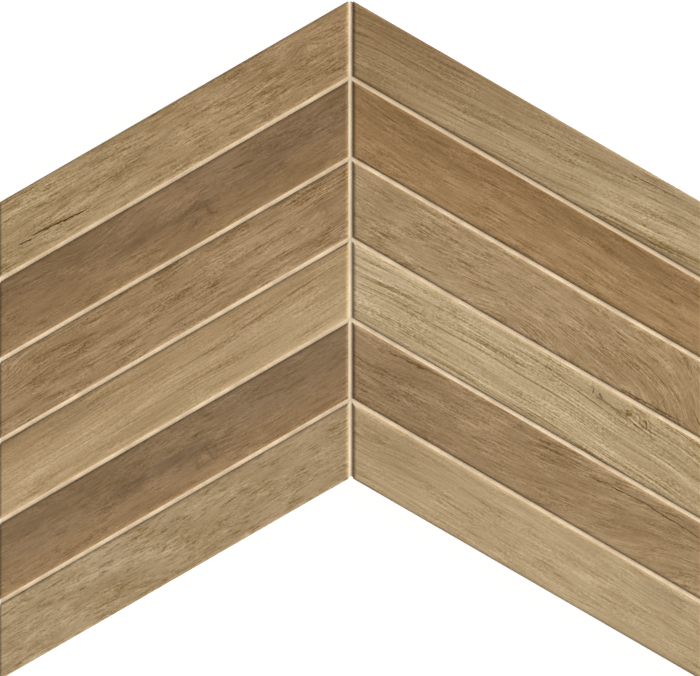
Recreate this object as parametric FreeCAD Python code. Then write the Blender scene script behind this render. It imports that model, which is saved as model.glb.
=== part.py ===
import FreeCAD
import Part
import math
import os

# Chevron wall tile sheet. Porcelain strips lie in a V on both sides of a centre joint. A cream filler with a
# dished surface closes the joints just below the face, and a fibre net glued to the backs holds the sheet.
# Millimetres. The sheet lies face up: +Z out of the face, +Y towards the point of the V, +X right.
# The origin is under the middle of the sheet, on the surface that it lies on.

# Driving dimensions of the strips
STRIPS_PER_SIDE = 6
SLOPE_DEG = 30.0            # fall of a strip from the centre joint to the side of the sheet
STRIP_WIDTH = 28.0          # across a strip, square to its long edges
STRIP_SPAN = 150.3          # along X, from the centre joint to the side of the sheet
STRIP_THICKNESS = 9.0
EDGE_RUN = 1.5              # how far in the rounded edge of the face reaches
EDGE_DROP = 0.42            # how far the rounded edge falls at the strip's side

# Driving dimensions of the keying grooves on the back of a strip
GROOVE_WIDTH = 3.0
GROOVE_DEPTH = 0.4
GROOVE_PITCH = 6.0
GROOVE_END_MARGIN = 7.0     # plain back left at each end of a groove, along X
GROOVE_SIDE_MARGIN = 2.5    # least plain back left beside the long edges

# Driving dimensions of the joints and their filler
JOINT_WIDTH = 2.0
FILLER_BELOW_EDGE = 0.1     # the filler meets a strip this far below the lower end of the rounded edge
FILLER_DISH = 0.2           # how much lower the filler's surface is along the middle of a joint
FILLER_SETBACK = 0.5        # the filler stops this far short of the sheet's outline

# Driving dimensions of the backing net
NET_THICKNESS = 0.5
NET_PITCH = 11.0
STRAND_WIDTH = 1.2
NET_SETBACK = 4.0           # the net is trimmed this far inside the sheet's outline

# Worked out from the driving dimensions
SLOPE = math.radians(SLOPE_DEG)
STRIP_RISE = STRIP_SPAN * math.tan(SLOPE)
STRIP_HEIGHT = STRIP_WIDTH / math.cos(SLOPE)
ROW_PITCH = (STRIP_WIDTH + JOINT_WIDTH) / math.cos(SLOPE)
INNER_X = JOINT_WIDTH / 2
OUTER_X = INNER_X + STRIP_SPAN
SIDE_HEIGHT = (STRIPS_PER_SIDE - 1) * ROW_PITCH + STRIP_HEIGHT
TOP_Y = (SIDE_HEIGHT + STRIP_RISE) / 2
BACK_Z = NET_THICKNESS
FACE_Z = BACK_Z + STRIP_THICKNESS
EDGE_END_Z = FACE_Z - EDGE_DROP
EDGE_RADIUS = (EDGE_RUN ** 2 + EDGE_DROP ** 2) / (2 * EDGE_DROP)
DISH_RADIUS = (INNER_X ** 2 + FILLER_DISH ** 2) / (2 * FILLER_DISH)
DISH_AXIS_Z = EDGE_END_Z - FILLER_BELOW_EDGE - FILLER_DISH + DISH_RADIUS

RIGHT = 1
LEFT = -1
SIDE_NAMES = {LEFT: "left", RIGHT: "right"}


def slope_line(x, drop):
    """Height of the sloped line that lies drop below the sheet's upper edge, measured along Y."""
    return TOP_Y - (x - INNER_X) * math.tan(SLOPE) - drop


def sloped_outline(side, x_near, x_far, drop_top, drop_bottom):
    """Corners of a parallelogram between two sloped lines, anticlockwise, on one side of the sheet."""
    corners = [
        (x_near, slope_line(x_near, drop_top)),
        (x_near, slope_line(x_near, drop_bottom)),
        (x_far, slope_line(x_far, drop_bottom)),
        (x_far, slope_line(x_far, drop_top)),
    ]
    if side == LEFT:
        corners = [(-x, y) for x, y in reversed(corners)]
    return corners


def prism(corners, z_low, z_high):
    points = [FreeCAD.Vector(x, y, z_low) for x, y in corners]
    face = Part.Face(Part.makePolygon(points + points[:1]))
    return face.extrude(FreeCAD.Vector(0, 0, z_high - z_low))


def strip_prism(side, row, grow, z_low, z_high):
    """Plain prism on a strip's outline, with every side moved out by grow."""
    grow_along_y = grow / math.cos(SLOPE)
    drop_top = row * ROW_PITCH - grow_along_y
    drop_bottom = row * ROW_PITCH + STRIP_HEIGHT + grow_along_y
    corners = sloped_outline(side, INNER_X - grow, OUTER_X + grow, drop_top, drop_bottom)
    return prism(corners, z_low, z_high)


def back_grooves(side, row):
    """Blind grooves along the strip's back, centred across its width."""
    room = STRIP_WIDTH - 2 * GROOVE_SIDE_MARGIN - GROOVE_WIDTH
    count = int(room / GROOVE_PITCH) + 1
    first_centre = STRIP_WIDTH / 2 - (count - 1) * GROOVE_PITCH / 2
    x_near = INNER_X + GROOVE_END_MARGIN
    x_far = OUTER_X - GROOVE_END_MARGIN
    grooves = []
    for number in range(count):
        centre = first_centre + number * GROOVE_PITCH
        drop_top = row * ROW_PITCH + (centre - GROOVE_WIDTH / 2) / math.cos(SLOPE)
        drop_bottom = row * ROW_PITCH + (centre + GROOVE_WIDTH / 2) / math.cos(SLOPE)
        corners = sloped_outline(side, x_near, x_far, drop_top, drop_bottom)
        grooves.append(prism(corners, BACK_Z, BACK_Z + GROOVE_DEPTH))
    return grooves


def make_strip(side, row):
    """One strip: square ends along Y, a shallow rounded edge round the face, grooves on the back."""
    grow = EDGE_RADIUS - EDGE_RUN
    blank = strip_prism(side, row, grow, BACK_Z, FACE_Z)
    face_edges = [edge for edge in blank.Edges if edge.BoundBox.ZMin > FACE_Z - EDGE_DROP / 2]
    rounded = blank.makeFillet(EDGE_RADIUS, face_edges)
    strip = rounded.common(strip_prism(side, row, 0, BACK_Z, FACE_Z))
    return strip.cut(back_grooves(side, row)).removeSplitter()


def sheet_half_corners(side, setback, x_near):
    """Outline of one half of the sheet, moved in by setback on its three outer sides."""
    setback_along_y = setback / math.cos(SLOPE)
    return sloped_outline(side, x_near, OUTER_X - setback, setback_along_y, SIDE_HEIGHT - setback_along_y)


def roller(start_y, run):
    """Cylinder along a joint from the centre line, a little longer than run so that it passes the outline."""
    start = FreeCAD.Vector(0, start_y, DISH_AXIS_Z)
    return Part.makeCylinder(DISH_RADIUS, run.Length + JOINT_WIDTH, start, run)


def joint_rollers():
    """Cylinders that leave a dished surface on the filler of the centre joint and of the sloped joints."""
    height = FreeCAD.Vector(0, SIDE_HEIGHT + 2 * JOINT_WIDTH, 0)
    rollers = [roller(TOP_Y - SIDE_HEIGHT - JOINT_WIDTH, height)]
    for side in SIDE_NAMES:
        sloped = FreeCAD.Vector(side * OUTER_X, -OUTER_X * math.tan(SLOPE), 0)
        for row in range(1, STRIPS_PER_SIDE):
            drop = row * ROW_PITCH - JOINT_WIDTH / 2 / math.cos(SLOPE)
            rollers.append(roller(slope_line(0, drop), sloped))
    return rollers


def make_filler():
    """The joint filler: what is left of the sheet's outline between the strips, as one dished piece."""
    halves = [prism(sheet_half_corners(side, FILLER_SETBACK, 0), BACK_Z, EDGE_END_Z) for side in SIDE_NAMES]
    strips = [
        strip_prism(side, row, 0, BACK_Z, FACE_Z)
        for side in SIDE_NAMES
        for row in range(STRIPS_PER_SIDE)
    ]
    return halves[0].fuse(halves[1]).cut(strips).removeSplitter().cut(joint_rollers())


def strand_places(low, high):
    """Centres of the strands that lie between low and high, half a pitch from zero onwards."""
    first = math.ceil(low / NET_PITCH - 0.5)
    last = math.floor(high / NET_PITCH - 0.5)
    return [(number + 0.5) * NET_PITCH for number in range(first, last + 1)]


def make_net(side):
    """Half of the backing net: strands in both directions, joined where they cross and trimmed."""
    region = prism(sheet_half_corners(side, NET_SETBACK, 0), 0, NET_THICKNESS)
    box = region.BoundBox
    strands = []
    for x in strand_places(box.XMin, box.XMax):
        corner = FreeCAD.Vector(x - STRAND_WIDTH / 2, box.YMin, 0)
        strands.append(Part.makeBox(STRAND_WIDTH, box.YLength, NET_THICKNESS, corner))
    for y in strand_places(box.YMin, box.YMax):
        corner = FreeCAD.Vector(box.XMin, y - STRAND_WIDTH / 2, 0)
        strands.append(Part.makeBox(box.XLength, STRAND_WIDTH, NET_THICKNESS, corner))
    net = strands[0].fuse(strands[1:]).common(region).removeSplitter()
    # Offcuts at the sharp corners that no crossing strand holds fall away.
    return max(net.Solids, key=lambda piece: piece.Volume)


def make_parts():
    parts = {}
    for side, name in SIDE_NAMES.items():
        for row in range(STRIPS_PER_SIDE):
            parts[f"strip_{name}_{row + 1}"] = make_strip(side, row)
        parts[f"backing_net_{name}"] = make_net(side)
    parts["joint_filler"] = make_filler()
    return parts


os.makedirs("parts", exist_ok=True)
for node, shape in make_parts().items():
    shape.exportStep(f"parts/{node}.step")
    box = shape.BoundBox
    print(f"{node}: {len(shape.Solids)} solid, valid {shape.isValid()}, volume {shape.Volume:.1f} mm3, "
          f"X {box.XMin:.2f} to {box.XMax:.2f}, Y {box.YMin:.2f} to {box.YMax:.2f}, "
          f"Z {box.ZMin:.2f} to {box.ZMax:.2f}")
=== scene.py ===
import math
from dataclasses import dataclass

import bpy
import numpy as np
from mathutils import Matrix, Vector


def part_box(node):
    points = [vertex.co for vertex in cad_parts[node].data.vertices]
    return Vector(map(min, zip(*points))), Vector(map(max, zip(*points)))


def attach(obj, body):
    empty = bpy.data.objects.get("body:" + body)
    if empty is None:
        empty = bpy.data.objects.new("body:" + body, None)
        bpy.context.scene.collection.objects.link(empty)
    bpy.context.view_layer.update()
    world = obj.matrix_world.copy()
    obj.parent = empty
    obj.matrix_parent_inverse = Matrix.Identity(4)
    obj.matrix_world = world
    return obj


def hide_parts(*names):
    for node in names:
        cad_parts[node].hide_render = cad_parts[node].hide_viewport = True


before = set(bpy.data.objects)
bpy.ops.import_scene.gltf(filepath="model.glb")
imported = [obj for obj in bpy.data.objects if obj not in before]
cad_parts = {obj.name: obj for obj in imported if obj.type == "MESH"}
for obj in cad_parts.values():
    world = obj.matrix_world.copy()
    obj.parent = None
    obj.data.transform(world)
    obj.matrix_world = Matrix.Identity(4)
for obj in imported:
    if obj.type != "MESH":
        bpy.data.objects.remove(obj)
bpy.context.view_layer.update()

# Layout of the sheet
MM = 0.001                  # lengths are metres where nothing else is said
SIDES = {"left": -1, "right": 1}
ROWS = 6
SLOPE = math.radians(30.0)

# Sizes of the sheet, read from the frame
strip_low, strip_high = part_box("strip_right_1")
INNER_X = strip_low.x
OUTER_X = strip_high.x
STRIP_SPAN = OUTER_X - INNER_X
STRIP_HEIGHT = strip_high.y - strip_low.y - STRIP_SPAN * math.tan(SLOPE)
STRIP_WIDTH = STRIP_HEIGHT * math.cos(SLOPE)
STRIP_LENGTH = STRIP_SPAN / math.cos(SLOPE)
ROW_PITCH = strip_high.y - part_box("strip_right_2")[1].y
TOP_Y = strip_high.y
BACK_Z = strip_low.z
FACE_Z = strip_high.z

# Sizes of the strips' details
EDGE_RUN = 1.5 * MM
EDGE_DROP = 0.42 * MM
EDGE_RADIUS = (EDGE_RUN ** 2 + EDGE_DROP ** 2) / (2 * EDGE_DROP)
GROOVE_WIDTH = 3.0 * MM
GROOVE_DEPTH = 0.4 * MM
GROOVE_PITCH = 6.0 * MM
GROOVE_COUNT = 4
GROOVE_END_MARGIN = 7.0 * MM
FINE_STEP = 0.25 * MM
LONG_STEP = 0.66 * MM
RELIEF_DEPTH = 0.10 * MM
FULL_RELIEF = 4.5           # strength of the finest grain that is pressed to the full depth

# Sizes of the backing net
NET_PITCH = 5.5 * MM
NET_SETBACK = 4.0 * MM
YARN_WIDTH = 0.9 * MM
YARN_THICKNESS = 0.24 * MM
YARN_SWING = 0.12 * MM      # how far a strand rises and falls about the net's middle
YARN_STEP = NET_PITCH / 3
YARN_SIDES = 6

# The grain of the print, from the finest fibres to broad clouds, with sizes in millimetres
GRAIN_WIDTHS = (0.5, 1.1, 2.5, 5.0, 12.0)
GRAIN_LENGTHS = (14.0, 24.0, 40.0, 60.0, 90.0)
GRAIN_GAINS = (0.37, 0.26, 0.22, 0.21, 0.21)
SPECK_WIDTH = 0.42
SPECK_LENGTH = 1.1
SPECK_GAIN = 0.36
SPECK_TURN = (0.88, 0.47)   # cosine and sine of the angle that the specks' cells are turned by
PORE_WIDTH = 0.7
PORE_LENGTH = 16.0

# Length and width of the cells of the print's other noises, in millimetres
DRIFT_CELL = (60.0, 28.0)
RIPPLE_CELL = (14.0, 5.0)
BUSY_CELL = (16.0, 6.0)
BLUSH_CELL = (22.0, 5.0)
WOBBLE_CELL = (2.5, 2.5)
GLAZE_CELL = (0.5, 0.22)

# The numbers of a print's noises, which set them apart: each number adds its steps to the strip's seed
DRIFT_NOISE = 1
RIPPLE_NOISE = 2
FIRST_LAYER_NOISE = 3
BUSY_NOISE = 9
BLUSH_NOISE = 10
WOBBLE_NOISE = 11
PORE_NOISE = 12
SPECK_NOISE = 13
GLAZE_NOISE = 15
SEED_STEP = 20
OFF_CELL = 0.37             # seeds lie this far above whole numbers, where the noise would show its cells

# Camera and light settings
IMAGE_WIDTH = 700
IMAGE_HEIGHT = 676
LENS = 300.0
SENSOR = 36.0
FRAME_WIDTH = 2 * OUTER_X * 0.995
FRAME_ABOVE = 0.35 * MM     # floor shown above the point of the V
CAMERA_X = -0.33 * MM       # the camera stands a little left of the centre joint
AMBIENT = 0.27              # the sky's share of the light on a level face, the rest is the key light's
KEY_SOFTNESS_DEG = 16.0
KEY_HEADING_DEG = 4.0
KEY_HEIGHT_DEG = 23.5
FLOOR_HALF = 3.0
FLOOR_GAP = 0.2 * MM        # how far the floor lies under the net
FLOOR_GREY = 0.3
FLOOR_GLOW = 0.92

# Finish of the strips' glaze
GLOSS = 0.12                # Specular IOR Level of the matt glaze
GLOSS_VEIL = 0.006          # light that the matt gloss adds over any ink
GLAZE_BUMP = 0.02 * MM


def ink(red, green, blue):
    """Linear colour that shows as these 8-bit screen values on a level face of the sheet."""
    shares = [value / 255 for value in (red, green, blue)]
    shown = [s / 12.92 if s <= 0.04045 else ((s + 0.055) / 1.055) ** 2.4 for s in shares]
    return tuple(max(s - GLOSS_VEIL, 0.003) for s in shown)


# What every print shares: how the grain and the greyer smudges tint the ground, and the inks of cracks
PALE_TINT = (1.52, 1.61, 1.82)
SHADE_TINT = (0.48, 0.39, 0.18)
PALE_SMUDGE = (1.54, 1.56, 1.58)
DARK_SMUDGE = (0.46, 0.44, 0.42)
BARK = ink(116, 91, 59)
CRACK = ink(74, 50, 16)


# Node trees

class Value:
    """A number socket that Python's operators work on: each one adds a Math node."""

    def __init__(self, nodes, socket):
        self.nodes = nodes
        self.socket = socket

    def __add__(self, other):
        return self.nodes.math("ADD", self, other)

    def __radd__(self, other):
        return self.nodes.math("ADD", other, self)

    def __sub__(self, other):
        return self.nodes.math("SUBTRACT", self, other)

    def __rsub__(self, other):
        return self.nodes.math("SUBTRACT", other, self)

    def __mul__(self, other):
        return self.nodes.math("MULTIPLY", self, other)

    def __rmul__(self, other):
        return self.nodes.math("MULTIPLY", other, self)

    def __truediv__(self, other):
        return self.nodes.math("DIVIDE", self, other)

    def __rtruediv__(self, other):
        return self.nodes.math("DIVIDE", other, self)

    def __pow__(self, other):
        return self.nodes.math("POWER", self, other)

    def __abs__(self):
        return self.nodes.math("ABSOLUTE", self, 0.0)

    def sine(self):
        return self.nodes.math("SINE", self, 0.0)

    def at_least(self, other):
        return self.nodes.math("MAXIMUM", self, other)

    def at_most(self, other):
        return self.nodes.math("MINIMUM", self, other)

    def clamped(self):
        return self.at_least(0.0).at_most(1.0)

    def rising(self, low, high):
        """0 below low, 1 above high, and a smooth step between them."""
        return self.nodes.add("ShaderNodeMapRange", {"interpolation_type": "SMOOTHSTEP"},
                              {"Value": self, "From Min": low, "From Max": high})


class Nodes:
    """Adds nodes to a shader tree or a geometry tree."""

    def __init__(self, tree):
        self.tree = tree

    def add(self, kind, settings=None, inputs=None, output=0):
        node = self.tree.nodes.new(kind)
        for name, value in (settings or {}).items():
            setattr(node, name, value)
        for key, value in (inputs or {}).items():
            self.feed(node.inputs[key], value)
        return Value(self, node.outputs[output]) if node.outputs else None

    def feed(self, socket, value):
        if isinstance(value, Value):
            self.tree.links.new(value.socket, socket)
        else:
            socket.default_value = value

    def math(self, operation, first, second):
        return self.add("ShaderNodeMath", {"operation": operation}, {0: first, 1: second})

    def mix(self, share, first, second):
        """Colour between first (share 0) and second (share 1)."""
        first, second = (c if isinstance(c, Value) else (*c, 1.0) for c in (first, second))
        return self.add("ShaderNodeMix", {"data_type": "RGBA"}, {0: share, 6: first, 7: second}, output=2)

    def times(self, first, second):
        """Two colours multiplied."""
        return self.add("ShaderNodeVectorMath", {"operation": "MULTIPLY"}, {0: first, 1: second})

    def split(self, vector):
        node = self.tree.nodes.new("ShaderNodeSeparateXYZ")
        self.feed(node.inputs[0], vector)
        return [Value(self, socket) for socket in node.outputs]

    def noise(self, along, across, seed, detail=0.0):
        place = self.add("ShaderNodeCombineXYZ", inputs={"X": along, "Y": across, "Z": seed})
        return self.add("ShaderNodeTexNoise", {"noise_dimensions": "3D"},
                        {"Vector": place, "Scale": 1.0, "Detail": detail})


# The print on the strips

@dataclass
class Smudge:
    """A soft patch, darker where depth is above 0 and paler below."""
    along: float
    across: float
    long: float
    wide: float
    depth: float


@dataclass
class Bend:
    """A place that pushes the grain aside by up to lift, upwards where lift is above 0."""
    along: float
    across: float
    long: float
    wide: float
    lift: float


@dataclass
class Crack:
    """A thin dark line between two places, tapered at both ends."""
    start: tuple
    end: tuple
    width: float
    depth: float


@dataclass
class Print:
    """One strip's wood print. Lengths are millimetres on the strip: along from its middle to the right,
    across from its middle line upwards. left, right and edge are the ground's inks at the ends and towards
    the long edges. grain is each layer's strength, from the fibres to the clouds."""
    slot: str
    seed: float
    left: tuple
    right: tuple
    edge: tuple
    grain: tuple
    pores: float = 0.3
    length: float = 1.0
    upper: float = 0.0
    lower: float = 0.0
    blush: float = 0.3
    tilt: float = 0.0
    curve: float = 0.0
    wander: float = 5.0
    ripple: float = 0.5
    smudges: tuple = ()
    bends: tuple = ()
    cracks: tuple = ()


def knotted(seed, left, right, edge, *cracks):
    """The print with the old knot, used on two strips."""
    return Print(
        "taupe_print", seed, left, right, edge, pores=0.2, length=0.35,
        grain=(2.3, 1.8, 1.9, 1.9, 2.6), lower=0.9, ripple=0.8,
        smudges=(Smudge(-24, -1.2, 9, 1.8, 0.38), Smudge(-8, 0.2, 13, 1.8, 0.32),
                 Smudge(-58, 10, 34, 6, 0.24), Smudge(14.6, -1.2, 3.0, 1.5, 0.26),
                 Smudge(12.2, -5.2, 1.8, 2.0, -0.16), Smudge(16.6, -7.0, 2.2, 1.0, 0.22),
                 Smudge(7.8, -6.2, 1.2, 2.2, 0.2), Smudge(15.2, -4.2, 0.9, 2.6, 0.24),
                 Smudge(6.0, -1.5, 6, 2.2, 0.16), Smudge(66, 6, 26, 7, 0.12), Smudge(9, -3, 11, 5.5, 0.28)),
        bends=(Bend(-40, 15, 22, 9, -9), Bend(12, -5, 7, 4, 3.0)),
        cracks=(Crack((10.2, -1.6), (7.2, -7.8), 0.35, 0.26), Crack((11.6, -2.6), (9.6, -8.2), 0.3, 0.2),
                Crack((14.2, -0.4), (15.8, -6.8), 0.4, 0.3), Crack((7.4, -7.9), (12.0, -8.4), 0.35, 0.24),
                *cracks))


PRINTS = {
    "strip_left_1": Print(
        "olive_beige_print", 1.0, ink(170, 146, 108), ink(159, 130, 94), ink(155, 126, 89),
        pores=0.42, length=0.5, grain=(3.5, 2.6, 2.3, 1.8, 2.4), ripple=1.1,
        smudges=(Smudge(-31, 9.5, 8, 1.8, 0.2), Smudge(-12, 1, 12, 2, 0.14), Smudge(64, 8, 8, 3, 0.18),
                 Smudge(45, 10.5, 8, 1.0, 0.3), Smudge(25, 6, 16, 3, 0.1)),
        bends=(Bend(68, 7, 10, 4, 3.5),),
        cracks=(Crack((-81, -6.2), (-74, -6.5), 0.5, 0.85), Crack((-75.0, -5.2), (-46.0, -7.6), 0.5, 1.0)),
    ),
    "strip_left_2": knotted(
        2.0, ink(137, 110, 79), ink(134, 108, 80), ink(147, 118, 83),
        Crack((32, 6.6), (43, 5.2), 0.6, 0.6), Crack((48, 4.0), (64, 1.6), 0.45, 0.45)),
    "strip_left_3": Print(
        "mid_brown_print", 3.0, ink(160, 132, 98), ink(162, 134, 99), ink(147, 119, 85),
        pores=0.4, length=0.55, grain=(3.3, 3.2, 2.9, 2.1, 3.0), ripple=1.1, blush=0.45,
        smudges=(Smudge(74, 2.5, 9, 1.4, 0.3), Smudge(66, 7.5, 16, 2, -0.14), Smudge(58, -2, 12, 6, -0.1)),
        bends=(Bend(84, 2.5, 18, 3.5, 6.0), Bend(-80, 8, 16, 10, -5)),
        cracks=(Crack((-57, 7.2), (-41, 6.0), 0.45, 0.6),),
    ),
    "strip_left_4": Print(
        "pale_beige_print", 4.0, ink(181, 155, 117), ink(183, 158, 120), ink(163, 135, 98),
        pores=0.16, length=1.2, grain=(2.2, 1.5, 1.3, 1.1, 2.3), upper=0.8, tilt=0.02, wander=3.0, ripple=0.2,
        cracks=(Crack((4, 3.2), (34, 4.0), 0.5, 0.3), Crack((30, 4.2), (58, 6.6), 0.42, 0.36),
                Crack((56, 6.8), (86, 8.4), 0.48, 0.34)),
        smudges=(Smudge(-43, 9, 18, 3, 0.24), Smudge(-72, 12, 16, 1.4, 0.3)),
    ),
    "strip_left_5": knotted(
        5.0, ink(138, 113, 84), ink(136, 112, 85), ink(147, 118, 84),
        Crack((40, 5.7), (55, 4.0), 0.45, 0.45)),
    "strip_left_6": Print(
        "olive_beige_print", 6.0, ink(175, 152, 118), ink(168, 144, 110), ink(158, 131, 97),
        pores=0.5, length=0.32, grain=(2.5, 1.9, 1.7, 1.5, 3.2), ripple=1.0, blush=0.35,
        smudges=(Smudge(-22, -2, 10, 2, 0.2), Smudge(-28, 8, 10, 2.5, 0.18), Smudge(2, 6, 4, 4, 0.18)),
    ),
    "strip_right_1": Print(
        "olive_beige_print", 7.0, ink(147, 121, 85), ink(185, 162, 126), ink(136, 109, 75),
        pores=0.45, length=2.0, grain=(3.0, 2.2, 2.1, 1.7, 4.0), upper=0.5, tilt=0.07, wander=7.0, ripple=0.6,
        cracks=(Crack((42, -13.0), (86, -11.0), 0.6, 0.5), Crack((45, 9.2), (70, 10.4), 0.4, 0.5)),
        smudges=(Smudge(62, -5, 24, 5, -0.18), Smudge(-60, 10, 26, 4, 0.14)),
    ),
    "strip_right_2": Print(
        "warm_brown_print", 8.0, ink(158, 127, 89), ink(162, 131, 92), ink(142, 111, 75),
        pores=0.36, length=0.55, grain=(2.6, 2.3, 2.2, 1.7, 1.7), upper=0.8, ripple=0.7,
        cracks=(Crack((62, 5.2), (84, 4.6), 0.4, 0.45),),
        smudges=(Smudge(-42, 3.6, 22, 1.0, 0.2), Smudge(52, 4.4, 18, 1.0, 0.18)),
    ),
    "strip_right_3": Print(
        "mid_brown_print", 9.0, ink(168, 142, 107), ink(168, 141, 104), ink(155, 127, 91),
        pores=0.36, length=0.45, grain=(3.4, 2.2, 1.7, 1.3, 2.2), wander=7.0, ripple=1.1, blush=0.45,
        bends=(Bend(95, -8, 28, 30, -24), Bend(58, -12, 5, 5, 4), Bend(0, -16, 42, 20, 20)),
        cracks=(Crack((52, -13.0), (86, -12.2), 0.5, 0.55),),
    ),
    "strip_right_4": Print(
        "pale_beige_print", 10.0, ink(188, 166, 131), ink(182, 159, 122), ink(170, 146, 110),
        pores=0.6, length=2.2, grain=(3.5, 3.1, 3.2, 1.7, 1.8), tilt=-0.02, curve=-0.0004, ripple=0.5,
        bends=(Bend(47, 11, 9, 4, 2.0),),
        smudges=(Smudge(48.5, 9.3, 4.5, 2.6, -0.18), Smudge(30.8, 9.6, 2.6, 1.6, 0.3),
                 Smudge(44, 8.8, 1.2, 2.0, 0.36), Smudge(53, 7.2, 1.8, 1.6, 0.36), Smudge(68, 3, 8, 3, 0.12)),
        cracks=(Crack((28.0, 9.1), (43, 7.9), 0.6, 0.4), Crack((42, 8.0), (53, 6.2), 0.65, 0.42),
                Crack((51, 6.4), (64, 4.6), 0.5, 0.26), Crack((43.4, 10.9), (44.4, 7.1), 0.6, 0.52),
                Crack((52.4, 11.0), (54.8, 7.5), 0.55, 0.46), Crack((26.1, 11.8), (27.0, 9.4), 0.5, 0.36),
                Crack((29.2, 11.3), (32.0, 8.7), 0.55, 0.44), Crack((44.0, 13.0), (52, 12.8), 0.45, 0.3)),
    ),
    "strip_right_5": Print(
        "taupe_print", 11.0, ink(158, 131, 98), ink(163, 136, 100), ink(142, 115, 83),
        pores=0.34, length=0.55, grain=(2.9, 2.4, 2.2, 1.8, 2.6), tilt=0.04, ripple=0.9, blush=0.4,
        bends=(Bend(96, -2, 70, 24, 13),),
        smudges=(Smudge(-60, -2, 24, 8, 0.1), Smudge(60, 10.5, 20, 1.6, 0.16)),
        cracks=(Crack((26, 7.9), (56, 9.8), 0.46, 0.68), Crack((48, 9.8), (84, 8.2), 0.44, 0.64),
                Crack((-76, 10.8), (-46, 13.2), 0.55, 0.6), Crack((-24, 13.8), (-6, 13.9), 0.5, 0.5)),
    ),
    "strip_right_6": Print(
        "pale_beige_print", 12.0, ink(179, 154, 118), ink(181, 158, 122), ink(166, 140, 104),
        pores=0.22, length=0.85, grain=(2.1, 1.6, 1.5, 1.3, 2.2), wander=8.0, ripple=0.9,
        smudges=(Smudge(62, 9, 10, 3, 0.18), Smudge(-70, 4, 16, 8, 0.1)),
    ),
}


class Grain:
    """The numbers that a strip's print and its pressed relief share."""

    def __init__(self, nodes, along, across, look):
        self.nodes = nodes
        self.along = along
        self.across = across
        self.look = look
        self.lean = self.flow()
        self.layers = [self.layer(number) for number in range(len(GRAIN_WIDTHS))]

    def seed(self, number):
        return self.look.seed + SEED_STEP * number + OFF_CELL

    def noise(self, cell, number, detail=0.0):
        """Noise of this strip's own, about -0.5 to 0.5, on cells of this length and width."""
        long, wide = cell
        return self.nodes.noise(self.along / long, self.lean / wide, self.seed(number), detail) - 0.5

    def hump(self, spot):
        """1 at a spot's middle, falling away smoothly over its length and width."""
        off_along = (self.along - spot.along) / spot.long
        off_across = (self.across - spot.across) / spot.wide
        return 1 / (1 + off_along * off_along + off_across * off_across) ** 2

    def flow(self):
        """Across, bent the way that the grain runs."""
        look = self.look
        self.lean = self.across
        drift = self.noise(DRIFT_CELL, DRIFT_NOISE, detail=1.0)
        ripple = self.noise(RIPPLE_CELL, RIPPLE_NOISE, detail=1.0)
        lean = self.across - self.along * look.tilt - self.along * self.along * look.curve
        lean = lean + drift * look.wander + ripple * look.ripple
        for bend in look.bends:
            lean = lean - self.hump(bend) * bend.lift
        return lean

    def layer(self, number):
        cell = (GRAIN_LENGTHS[number] * self.look.length, GRAIN_WIDTHS[number])
        return self.noise(cell, FIRST_LAYER_NOISE + number)

    def pores(self):
        """Dark flecks, 1 at their middles."""
        flecks = self.noise((PORE_LENGTH * self.look.length, PORE_WIDTH), PORE_NOISE)
        return (flecks + self.layers[3] * 0.3).rising(0.14, 0.28)

    def specks(self):
        """Short flecks on cells that are turned away from the grain, so that they don't line up along it."""
        along = self.along / SPECK_LENGTH
        across = self.lean / SPECK_WIDTH
        cosine, sine = SPECK_TURN
        turned_along = along * cosine - across * sine
        turned_across = along * sine + across * cosine
        return self.nodes.noise(turned_along, turned_across, self.seed(SPECK_NOISE)) - 0.5

    def tone(self):
        """Paler above 0, darker below."""
        busy = self.noise(BUSY_CELL, BUSY_NOISE, detail=1.0).rising(-0.2, 0.2) + 0.5
        swings = [strength * gain for strength, gain in zip(self.look.grain, GRAIN_GAINS)]
        specks = self.specks() * (self.look.grain[0] * SPECK_GAIN)
        fibres = self.layers[0] * swings[0] + self.layers[1] * swings[1] + specks
        total = fibres * busy - self.pores() * self.look.pores
        for layer, swing in zip(self.layers[2:], swings[2:]):
            total = total + layer * swing
        return total

    def smudges(self):
        """Depth of the soft patches, whose edges fray along the grain, or None if there are none."""
        total = None
        for smudge in self.look.smudges:
            off_along = (self.along - smudge.along) / smudge.long
            off_across = (self.across - smudge.across + self.layers[3] * 4) / smudge.wide
            inside = 1 - (off_along * off_along + off_across * off_across)
            part = (inside + self.layers[2] * 2).rising(-0.8, 0.9) * smudge.depth
            total = part if total is None else total + part
        return total

    def cracks(self):
        """Darkness of the cracks, from 0 to 1, or None if there are none."""
        total = None
        wobble = self.noise(WOBBLE_CELL, WOBBLE_NOISE, detail=2.0)
        for crack in self.look.cracks:
            run = crack.end[0] - crack.start[0]
            rise = crack.end[1] - crack.start[1]
            length = math.hypot(run, rise)
            off_along = self.along - crack.start[0]
            off_across = self.across - crack.start[1] + wobble * 1.4
            share = ((off_along * run + off_across * rise) / length ** 2).clamped()
            apart = abs(off_along * rise - off_across * run) / length
            taper = (share * (1 - share) * 4) ** 0.5
            nearness = 1 - apart / (taper * crack.width * (1 + wobble) + 0.001)
            dark = nearness.rising(0.0, 0.8) * (wobble * 1.5 + 1) * crack.depth
            total = dark if total is None else total.at_least(dark)
        return total if total is None else total.clamped()

    def pressed(self):
        """How deep the face is pressed in, as a share of the full depth: dark fibres and cracks lie low."""
        fibres = (0.5 - self.layers[0] * 1.3 - self.layers[1] * 1.0).clamped()
        depth = fibres * (self.look.grain[0] / FULL_RELIEF)
        cracks = self.cracks()
        return depth if cracks is None else depth.at_least(cracks)


def strip_middle(side, row):
    x = (INNER_X + OUTER_X) / 2
    y = TOP_Y - row * ROW_PITCH - (x - INNER_X) * math.tan(SLOPE) - STRIP_HEIGHT / 2
    return Vector((SIDES[side] * x, y, 0.0))


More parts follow.
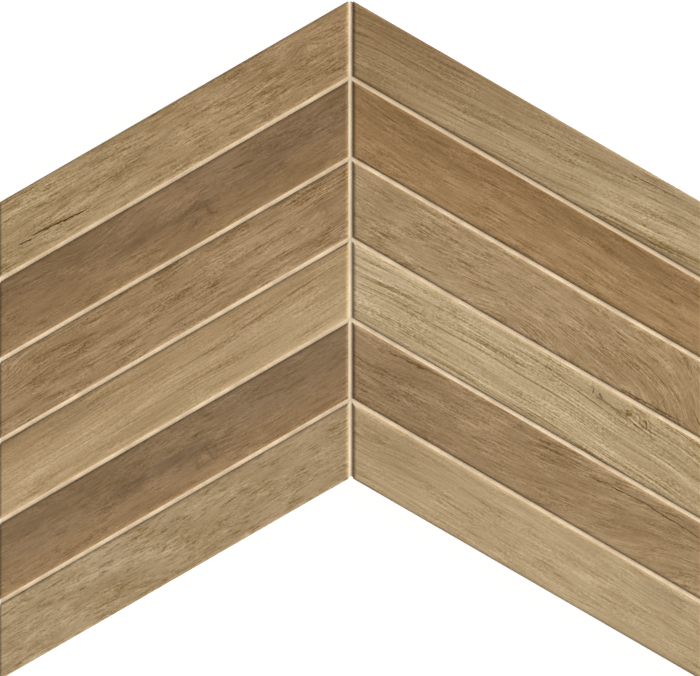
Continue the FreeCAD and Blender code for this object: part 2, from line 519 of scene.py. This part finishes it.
def strip_turn(side):
    """Angle that turns the strip level, so that along runs to the right."""
    return SIDES[side] * SLOPE


def strip_coordinates(nodes, side, row):
    """Along and across the strip, in millimetres, from Object coordinates."""
    turn = strip_turn(side)
    middle = Matrix.Rotation(turn, 3, "Z") @ strip_middle(side, row)
    place = nodes.add("ShaderNodeTexCoord", output=3)
    turned = nodes.add("ShaderNodeMapping", inputs={
        "Vector": place, "Location": -middle / MM, "Rotation": (0.0, 0.0, turn), "Scale": (1 / MM,) * 3})
    along, across, _ = nodes.split(turned)
    return along, across


def new_material(name):
    material = bpy.data.materials.new(name)
    material.use_nodes = True
    material.node_tree.nodes.clear()
    return material, Nodes(material.node_tree)


def finish_material(nodes, color, roughness, height=None, bump_depth=0.0, **constants):
    """Ends a tree in a Principled shader. height, from 0 to 1, is a bump that is bump_depth high at 1."""
    inputs = {"Base Color": color, "Roughness": roughness, **constants}
    if height is not None:
        inputs["Normal"] = nodes.add("ShaderNodeBump", inputs={
            "Height": height, "Distance": bump_depth, "Strength": 1.0})
    shader = nodes.add("ShaderNodeBsdfPrincipled", inputs=inputs)
    nodes.add("ShaderNodeOutputMaterial", inputs={"Surface": shader})


def wood_print(node, side, row):
    """The printed and glazed face of one strip."""
    look = PRINTS[node]
    material, nodes = new_material(f"{node}_face")
    along, across = strip_coordinates(nodes, side, row)
    grain = Grain(nodes, along, across, look)
    half_length = STRIP_LENGTH / MM / 2
    half_width = STRIP_WIDTH / MM / 2
    ground = nodes.mix(along.rising(-half_length, half_length), look.left, look.right)
    upper = (grain.lean / half_width).rising(-0.3, 1.0) * look.upper
    lower = (grain.lean / -half_width).rising(-0.3, 1.0) * look.lower
    blush = grain.noise(BLUSH_CELL, BLUSH_NOISE, detail=1.0).rising(-0.2, 0.25) * look.blush
    ground = nodes.mix((upper + lower + blush).at_most(1.0), ground, look.edge)
    tone = grain.tone()
    color = nodes.times(ground, nodes.mix(tone * 0.5 + 0.5, SHADE_TINT, PALE_TINT))
    smudges = grain.smudges()
    if smudges is not None:
        color = nodes.times(color, nodes.mix(smudges * 0.5 + 0.5, PALE_SMUDGE, DARK_SMUDGE))
    cracks = grain.cracks()
    if cracks is not None:
        color = nodes.mix((cracks * 2).clamped(), color, BARK)
        color = nodes.mix((cracks * 2 - 1).clamped(), color, CRACK)
    long, wide = GLAZE_CELL
    glaze = nodes.noise(along / long, across / wide, look.seed + SEED_STEP * GLAZE_NOISE, detail=1.0)
    roughness = 0.6 - tone * 0.2
    finish_material(nodes, color, roughness, glaze, GLAZE_BUMP, **{"Specular IOR Level": GLOSS})
    return material


def porcelain_body():
    """The bare body of the strips, on their sides and backs."""
    material, nodes = new_material("porcelain_body")
    place = nodes.add("ShaderNodeTexCoord", output=3)
    specks = nodes.add("ShaderNodeTexNoise", inputs={"Vector": place, "Scale": 1600.0, "Detail": 2.0})
    clouds = nodes.add("ShaderNodeTexNoise", inputs={"Vector": place, "Scale": 90.0, "Detail": 3.0})
    color = nodes.mix(clouds, ink(142, 125, 102), ink(162, 145, 121))
    color = nodes.mix(specks.rising(0.55, 0.75) * 0.35, color, ink(108, 92, 72))
    finish_material(nodes, color, 0.78 + clouds * 0.1, specks, 0.05 * MM)
    return material


def sanded_filler():
    """Cream joint filler with a sandy surface, darker in the first row, with painted shade where it meets the
    strips.
    """
    material, nodes = new_material("cream_filler")
    place = nodes.add("ShaderNodeTexCoord", output=3)
    x, y, _ = nodes.split(place)
    fall = (TOP_Y - y - (abs(x) - INNER_X) * math.tan(SLOPE) - STRIP_HEIGHT) * math.cos(SLOPE)
    row_width = ROW_PITCH * math.cos(SLOPE)
    half_joint = (row_width - STRIP_WIDTH) / 2
    from_middle = nodes.math("PINGPONG", fall - half_joint, row_width / 2).at_most(abs(x))
    # painted shade: the filler darkens towards its borders with the strips, standing in for the shade in the
    # joint's corners
    painted_seam_shade = (from_middle / half_joint).rising(0.5, 1.0)
    sand = nodes.add("ShaderNodeTexNoise", inputs={"Vector": place, "Scale": 2600.0, "Detail": 2.0})
    clouds = nodes.add("ShaderNodeTexNoise", inputs={
        "Vector": place, "Scale": 70.0, "Detail": 4.0, "Roughness": 0.7})
    color = nodes.mix(clouds.rising(0.25, 0.75), ink(200, 176, 144), ink(240, 217, 183))
    in_centre = 1 - abs(x).rising(0.5 * INNER_X, INNER_X)
    color = nodes.mix(in_centre * 0.5, color, ink(208, 198, 176))
    in_first_row = 1 - (fall / row_width).rising(0.3, 0.7)
    darkening = 0.15 + x.rising(-INNER_X, INNER_X) * 0.35
    color = nodes.mix((in_first_row - in_centre).at_least(0.0) * darkening, color, ink(198, 172, 138))
    color = nodes.mix(sand.rising(0.5, 0.7) * 0.35, color, ink(198, 172, 136))
    # painted shade along the strips' sides, mixed over the filler's own colour
    color = nodes.mix(painted_seam_shade * 0.7, color, ink(178, 152, 118))
    finish_material(nodes, color, 0.85 + sand * 0.1, sand, 0.12 * MM)
    return material


def net_yarn():
    """Off-white fibre yarn with a fine, uneven surface."""
    material, nodes = new_material("net_yarn")
    place = nodes.add("ShaderNodeTexCoord", output=3)
    filaments = nodes.add("ShaderNodeTexNoise", inputs={"Vector": place, "Scale": 3200.0, "Detail": 2.0})
    clouds = nodes.add("ShaderNodeTexNoise", inputs={"Vector": place, "Scale": 120.0, "Detail": 2.0})
    color = nodes.mix(clouds, ink(214, 211, 200), ink(236, 234, 226))
    color = nodes.mix(filaments.rising(0.45, 0.7) * 0.4, color, ink(184, 180, 166))
    finish_material(nodes, color, 0.62 + filaments * 0.2, filaments, 0.06 * MM)
    return material


# The strips' meshes

def stations(length, edge, fine, coarse):
    """Places from 0 to length, fine within edge of both ends and coarse between."""
    fine_count = round(edge / fine)
    coarse_count = round((length - 2 * edge) / coarse)
    first = np.linspace(0, edge, fine_count, endpoint=False)
    middle = np.linspace(edge, length - edge, coarse_count, endpoint=False)
    last = np.linspace(length - edge, length, fine_count + 1)
    return np.concatenate([first, middle, last])


def groove_edges():
    """Distances from the strip's upper edge where the back's grooves start and end."""
    first_centre = STRIP_WIDTH / 2 - (GROOVE_COUNT - 1) * GROOVE_PITCH / 2
    centres = [first_centre + number * GROOVE_PITCH for number in range(GROOVE_COUNT)]
    return [centre + half for centre in centres for half in (-GROOVE_WIDTH / 2, GROOVE_WIDTH / 2)]


class StripMesh:
    """A closed strip: a dense face that takes the relief, plain sides, and a back with grooves."""

    def __init__(self, side, row):
        self.side = SIDES[side]
        self.row = row
        self.points = []
        self.faces = []
        self.press = []             # for each point of the face, how much of the relief it takes
        self.face_count = 0
        self.rim = {}
        self.foot = {}

    def place(self, run, fall, z):
        """Point at run from the centre joint along X and fall across from the strip's upper edge."""
        y = TOP_Y - self.row * ROW_PITCH - run * math.tan(SLOPE) - fall / math.cos(SLOPE)
        return (self.side * (INNER_X + run), y, z)

    def add_face(self, corners):
        """Corners go anticlockwise on the right side, and are turned round on the left."""
        self.faces.append(corners if self.side > 0 else corners[::-1])

    def add_point(self, run, fall, z):
        self.points.append(self.place(run, fall, z))
        return len(self.points) - 1

    def add_top(self):
        runs = stations(STRIP_SPAN, 2 * EDGE_RUN, FINE_STEP, LONG_STEP * math.cos(SLOPE))
        falls = stations(STRIP_WIDTH, 2 * EDGE_RUN, FINE_STEP, FINE_STEP)
        grid = [[0] * len(falls) for _ in runs]
        for i, run in enumerate(runs):
            for j, fall in enumerate(falls):
                from_edge = min(run, STRIP_SPAN - run, fall, STRIP_WIDTH - fall)
                inward = max(EDGE_RUN - from_edge, 0.0)
                drop = EDGE_RADIUS - math.sqrt(EDGE_RADIUS ** 2 - inward ** 2)
                grid[i][j] = self.add_point(run, fall, FACE_Z - drop)
                self.press.append(min(from_edge / EDGE_RUN, 1.0))
        for i in range(len(runs) - 1):
            for j in range(len(falls) - 1):
                self.add_face([grid[i][j], grid[i][j + 1], grid[i + 1][j + 1], grid[i + 1][j]])
        self.face_count = len(self.faces)
        self.rim = {
            "near": grid[0],
            "far": grid[-1],
            "upper": [column[0] for column in grid],
            "lower": [column[-1] for column in grid],
        }

    def add_back(self):
        runs = [0.0, GROOVE_END_MARGIN, STRIP_SPAN - GROOVE_END_MARGIN, STRIP_SPAN]
        falls = [0.0, *groove_edges(), STRIP_WIDTH]
        grid = [[self.add_point(run, fall, BACK_Z) for fall in falls] for run in runs]
        for i in range(len(runs) - 1):
            for j in range(len(falls) - 1):
                corners = [grid[i][j], grid[i + 1][j], grid[i + 1][j + 1], grid[i][j + 1]]
                if i == 1 and j % 2 == 1:
                    self.add_groove(corners, runs[1:3], falls[j:j + 2])
                else:
                    self.add_face(corners)
        self.foot = {
            "near": grid[0],
            "far": grid[-1],
            "upper": [column[0] for column in grid],
            "lower": [column[-1] for column in grid],
        }

    def add_groove(self, mouth, runs, falls):
        ceiling_z = BACK_Z + GROOVE_DEPTH
        places = [(runs[0], falls[0]), (runs[1], falls[0]), (runs[1], falls[1]), (runs[0], falls[1])]
        ceiling = [self.add_point(run, fall, ceiling_z) for run, fall in places]
        self.add_face(ceiling)
        for i in range(4):
            after = (i + 1) % 4
            self.add_face([mouth[i], mouth[after], ceiling[after], ceiling[i]])

    def add_sides(self):
        for name in ("near", "far", "upper", "lower"):
            loop = self.rim[name] + self.foot[name][::-1]
            self.add_face(loop[::-1] if name in ("near", "lower") else loop)

    def build(self, name):
        self.add_top()
        self.add_back()
        self.add_sides()
        mesh = bpy.data.meshes.new(name)
        mesh.from_pydata(self.points, [], self.faces)
        press = mesh.attributes.new("press", "FLOAT", "POINT")
        press.data.foreach_set("value", self.press + [0.0] * (len(self.points) - len(self.press)))
        on_face = [number < self.face_count for number in range(len(self.faces))]
        mesh.polygons.foreach_set("use_smooth", on_face)
        printed = mesh.attributes.new("printed", "BOOLEAN", "FACE")
        printed.data.foreach_set("value", on_face)
        return mesh


# Geometry Nodes

def new_geometry_tree(name, inputs):
    """Tree with a geometry in and out, and named inputs given as (name, socket type)."""
    tree = bpy.data.node_groups.new(name, "GeometryNodeTree")
    tree.interface.new_socket("Geometry", in_out="INPUT", socket_type="NodeSocketGeometry")
    for label, kind in inputs:
        tree.interface.new_socket(label, in_out="INPUT", socket_type=kind)
    tree.interface.new_socket("Geometry", in_out="OUTPUT", socket_type="NodeSocketGeometry")
    nodes = Nodes(tree)
    entry = tree.nodes.new("NodeGroupInput")
    sockets = {socket.name: Value(nodes, socket) for socket in entry.outputs if socket.name}
    return tree, nodes, sockets


def close_geometry_tree(nodes, geometry, materials):
    """Ends a tree in plain geometry with its materials, each given with its selection or None for all."""
    geometry = nodes.add("GeometryNodeRealizeInstances", inputs={"Geometry": geometry})
    for material, selection in materials:
        inputs = {"Geometry": geometry, "Material": material}
        if selection is not None:
            inputs["Selection"] = selection
        geometry = nodes.add("GeometryNodeSetMaterial", inputs=inputs)
    leave = nodes.tree.nodes.new("NodeGroupOutput")
    nodes.feed(leave.inputs[0], geometry)


def attribute(nodes, name, kind):
    return nodes.add("GeometryNodeInputNamedAttribute", {"data_type": kind}, {"Name": name})


def baked(name, mesh, tree, settings):
    """Runs a tree on a mesh and returns a plain object with the result."""
    source = bpy.data.objects.new(f"{name}_source", mesh)
    bpy.context.scene.collection.objects.link(source)
    modifier = source.modifiers.new("make", "NODES")
    modifier.node_group = tree
    identifiers = {item.name: item.identifier for item in tree.interface.items_tree if item.in_out == "INPUT"}
    for label, value in settings.items():
        modifier[identifiers[label]] = value
    depsgraph = bpy.context.evaluated_depsgraph_get()
    made = bpy.data.meshes.new_from_object(source.evaluated_get(depsgraph))
    bpy.data.objects.remove(source)
    made.name = name
    piece = bpy.data.objects.new(name, made)
    bpy.context.scene.collection.objects.link(piece)
    return piece


def pressed_grain_tree(node, side, row):
    """Presses the strip's grain into its face: nothing stands out."""
    tree, nodes, given = new_geometry_tree(f"{node}_relief", [
        ("Depth", "NodeSocketFloat"), ("Body", "NodeSocketMaterial"), ("Print", "NodeSocketMaterial")])
    position = nodes.add("GeometryNodeInputPosition")
    moved = nodes.add("ShaderNodeVectorMath", {"operation": "SUBTRACT"},
                      {0: position, 1: strip_middle(side, row)})
    turned = nodes.add("ShaderNodeVectorRotate", {"rotation_type": "Z_AXIS"},
                       {"Vector": moved, "Angle": strip_turn(side)})
    x, y, _ = nodes.split(turned)
    grain = Grain(nodes, x / MM, y / MM, PRINTS[node])
    sink = grain.pressed().at_most(1.0) * attribute(nodes, "press", "FLOAT") * given["Depth"] * -1.0
    offset = nodes.add("ShaderNodeCombineXYZ", inputs={"Z": sink})
    geometry = nodes.add("GeometryNodeSetPosition", inputs={"Geometry": given["Geometry"], "Offset": offset})
    printed = attribute(nodes, "printed", "BOOLEAN")
    close_geometry_tree(nodes, geometry, [(given["Body"], None), (given["Print"], printed)])
    return tree


def make_strip(side, row, body_material):
    node = f"strip_{side}_{row + 1}"
    mesh = StripMesh(side, row).build(node)
    piece = baked(f"{node}_tile", mesh, pressed_grain_tree(node, side, row), {
        "Depth": RELIEF_DEPTH, "Body": body_material, "Print": wood_print(node, side, row)})
    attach(piece, "root")
    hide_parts(node)


# The backing net

def net_edge(x, setback):
    """Lowest and highest Y of the net at a distance x from the centre line."""
    inset = setback / math.cos(SLOPE)
    upper = TOP_Y - (x - INNER_X) * math.tan(SLOPE) - inset
    return upper - (ROWS - 1) * ROW_PITCH - STRIP_HEIGHT + 2 * inset, upper


def strand_places(low, high):
    """Centres of the strands between low and high, half a pitch from zero onwards."""
    first = math.ceil(low / NET_PITCH - 0.5)
    last = math.floor(high / NET_PITCH - 0.5)
    return [(number + 0.5) * NET_PITCH for number in range(first, last + 1)]


def strand_lines(side):
    """Ends of the strands of one half of the net, as pairs, with 1 for those along X and -1 along Y."""
    reach = OUTER_X - NET_SETBACK
    lines = []
    for x in strand_places(0.0, reach):
        low, high = net_edge(x, NET_SETBACK)
        lines.append(((x, low), (x, high), -1.0))
    lowest = net_edge(reach, NET_SETBACK)[0]
    highest = net_edge(0.0, NET_SETBACK)[1]
    for y in strand_places(lowest, highest):
        near = max(0.0, (net_edge(0.0, NET_SETBACK)[0] - y) / math.tan(SLOPE))
        far = min(reach, (highest - y) / math.tan(SLOPE))
        if far - near > NET_PITCH:
            lines.append(((near, y), (far, y), 1.0))
    return [((SIDES[side] * x1, y1), (SIDES[side] * x2, y2), over) for (x1, y1), (x2, y2), over in lines]


def woven_net_tree():
    """Turns the strands' middle lines into flat yarns that pass over and under each other."""
    tree, nodes, given = new_geometry_tree("woven_net", [
        ("Pitch", "NodeSocketFloat"), ("Step", "NodeSocketFloat"), ("Width", "NodeSocketFloat"),
        ("Thickness", "NodeSocketFloat"), ("Swing", "NodeSocketFloat"), ("Yarn", "NodeSocketMaterial")])
    curve = nodes.add("GeometryNodeMeshToCurve", inputs={"Mesh": given["Geometry"]})
    curve = nodes.add("GeometryNodeResampleCurve", {"mode": "LENGTH"},
                      {"Curve": curve, "Length": given["Step"]})
    x, y, _ = nodes.split(nodes.add("GeometryNodeInputPosition"))
    wave = (x / given["Pitch"] * math.pi).sine() * (y / given["Pitch"] * math.pi).sine()
    lift = wave * given["Swing"] * attribute(nodes, "over", "FLOAT")
    offset = nodes.add("ShaderNodeCombineXYZ", inputs={"Z": lift})
    curve = nodes.add("GeometryNodeSetPosition", inputs={"Geometry": curve, "Offset": offset})
    curve = nodes.add("GeometryNodeSetCurveNormal", {"mode": "Z_UP"}, {"Curve": curve})
    ring = nodes.add("GeometryNodeCurvePrimitiveCircle", inputs={"Resolution": YARN_SIDES, "Radius": 0.5})
    size = nodes.add("ShaderNodeCombineXYZ", inputs={"X": given["Width"], "Y": given["Thickness"], "Z": 1.0})
    section = nodes.add("GeometryNodeTransform", inputs={"Geometry": ring, "Scale": size})
    yarns = nodes.add("GeometryNodeCurveToMesh", inputs={
        "Curve": curve, "Profile Curve": section, "Fill Caps": True})
    close_geometry_tree(nodes, yarns, [(given["Yarn"], None)])
    return tree


def make_net(side, tree, yarn):
    node = f"backing_net_{side}"
    points = []
    lines = []
    over = []
    for start, end, way in strand_lines(side):
        lines.append((len(points), len(points) + 1))
        points += [(*start, BACK_Z / 2), (*end, BACK_Z / 2)]
        over += [way, way]
    mesh = bpy.data.meshes.new(node)
    mesh.from_pydata(points, lines, [])
    mesh.attributes.new("over", "FLOAT", "POINT").data.foreach_set("value", over)
    piece = baked(f"{node}_weave", mesh, tree, {
        "Pitch": NET_PITCH, "Step": YARN_STEP, "Width": YARN_WIDTH, "Thickness": YARN_THICKNESS,
        "Swing": YARN_SWING, "Yarn": yarn})
    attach(piece, "root")
    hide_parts(node)


def dress_node(node, material):
    """Gives a CAD node its finish."""
    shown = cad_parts[node]
    shown.data.materials.clear()
    shown.data.materials.append(material)


# Stage

def make_floor():
    """A white light table."""
    corners = [(-1, -1), (1, -1), (1, 1), (-1, 1)]
    points = [(FLOOR_HALF * x, FLOOR_HALF * y, -FLOOR_GAP) for x, y in corners]
    mesh = bpy.data.meshes.new("floor")
    mesh.from_pydata(points, [], [(0, 1, 2, 3)])
    floor = bpy.data.objects.new("floor", mesh)
    bpy.context.scene.collection.objects.link(floor)
    material, nodes = new_material("floor_white")
    finish_material(nodes, (FLOOR_GREY, FLOOR_GREY, FLOOR_GREY, 1.0), 0.9,
                    **{"Emission Color": (1.0, 1.0, 1.0, 1.0), "Emission Strength": FLOOR_GLOW})
    mesh.materials.append(material)


def make_light():
    """An even white sky and one soft key light: a level white face under both shows full white."""
    world = bpy.data.worlds.new("studio")
    world.use_nodes = True
    world.node_tree.nodes["Background"].inputs["Color"].default_value = (1.0, 1.0, 1.0, 1.0)
    world.node_tree.nodes["Background"].inputs["Strength"].default_value = AMBIENT
    bpy.context.scene.world = world
    data = bpy.data.lights.new("key", "SUN")
    data.energy = (1 - AMBIENT) * math.pi / math.sin(math.radians(KEY_HEIGHT_DEG))
    data.angle = math.radians(KEY_SOFTNESS_DEG)
    key = bpy.data.objects.new("key", data)
    bpy.context.scene.collection.objects.link(key)
    heading = math.radians(KEY_HEADING_DEG)
    height = math.radians(KEY_HEIGHT_DEG)
    towards = Vector((math.cos(heading) * math.cos(height), math.sin(heading) * math.cos(height),
                      math.sin(height)))
    key.rotation_euler = towards.to_track_quat("Z", "Y").to_euler()


def make_camera():
    """A long lens straight above the sheet, framed a little inside its sides."""
    data = bpy.data.cameras.new("camera")
    data.lens = LENS
    data.sensor_width = SENSOR
    data.sensor_fit = "HORIZONTAL"
    data.clip_end = 20.0
    camera = bpy.data.objects.new("camera", data)
    bpy.context.scene.collection.objects.link(camera)
    away = FRAME_WIDTH * LENS / SENSOR
    frame_height = FRAME_WIDTH * IMAGE_HEIGHT / IMAGE_WIDTH
    camera.location = (CAMERA_X, TOP_Y + FRAME_ABOVE - frame_height / 2, FACE_Z + away)
    bpy.context.scene.camera = camera


# Everything in its place
body_material = porcelain_body()
for side in SIDES:
    for row in range(ROWS):
        make_strip(side, row, body_material)
dress_node("joint_filler", sanded_filler())
net_tree = woven_net_tree()
yarn = net_yarn()
for side in SIDES:
    make_net(side, net_tree, yarn)
make_floor()
make_light()
make_camera()
bpy.context.scene.view_settings.view_transform = "Standard"
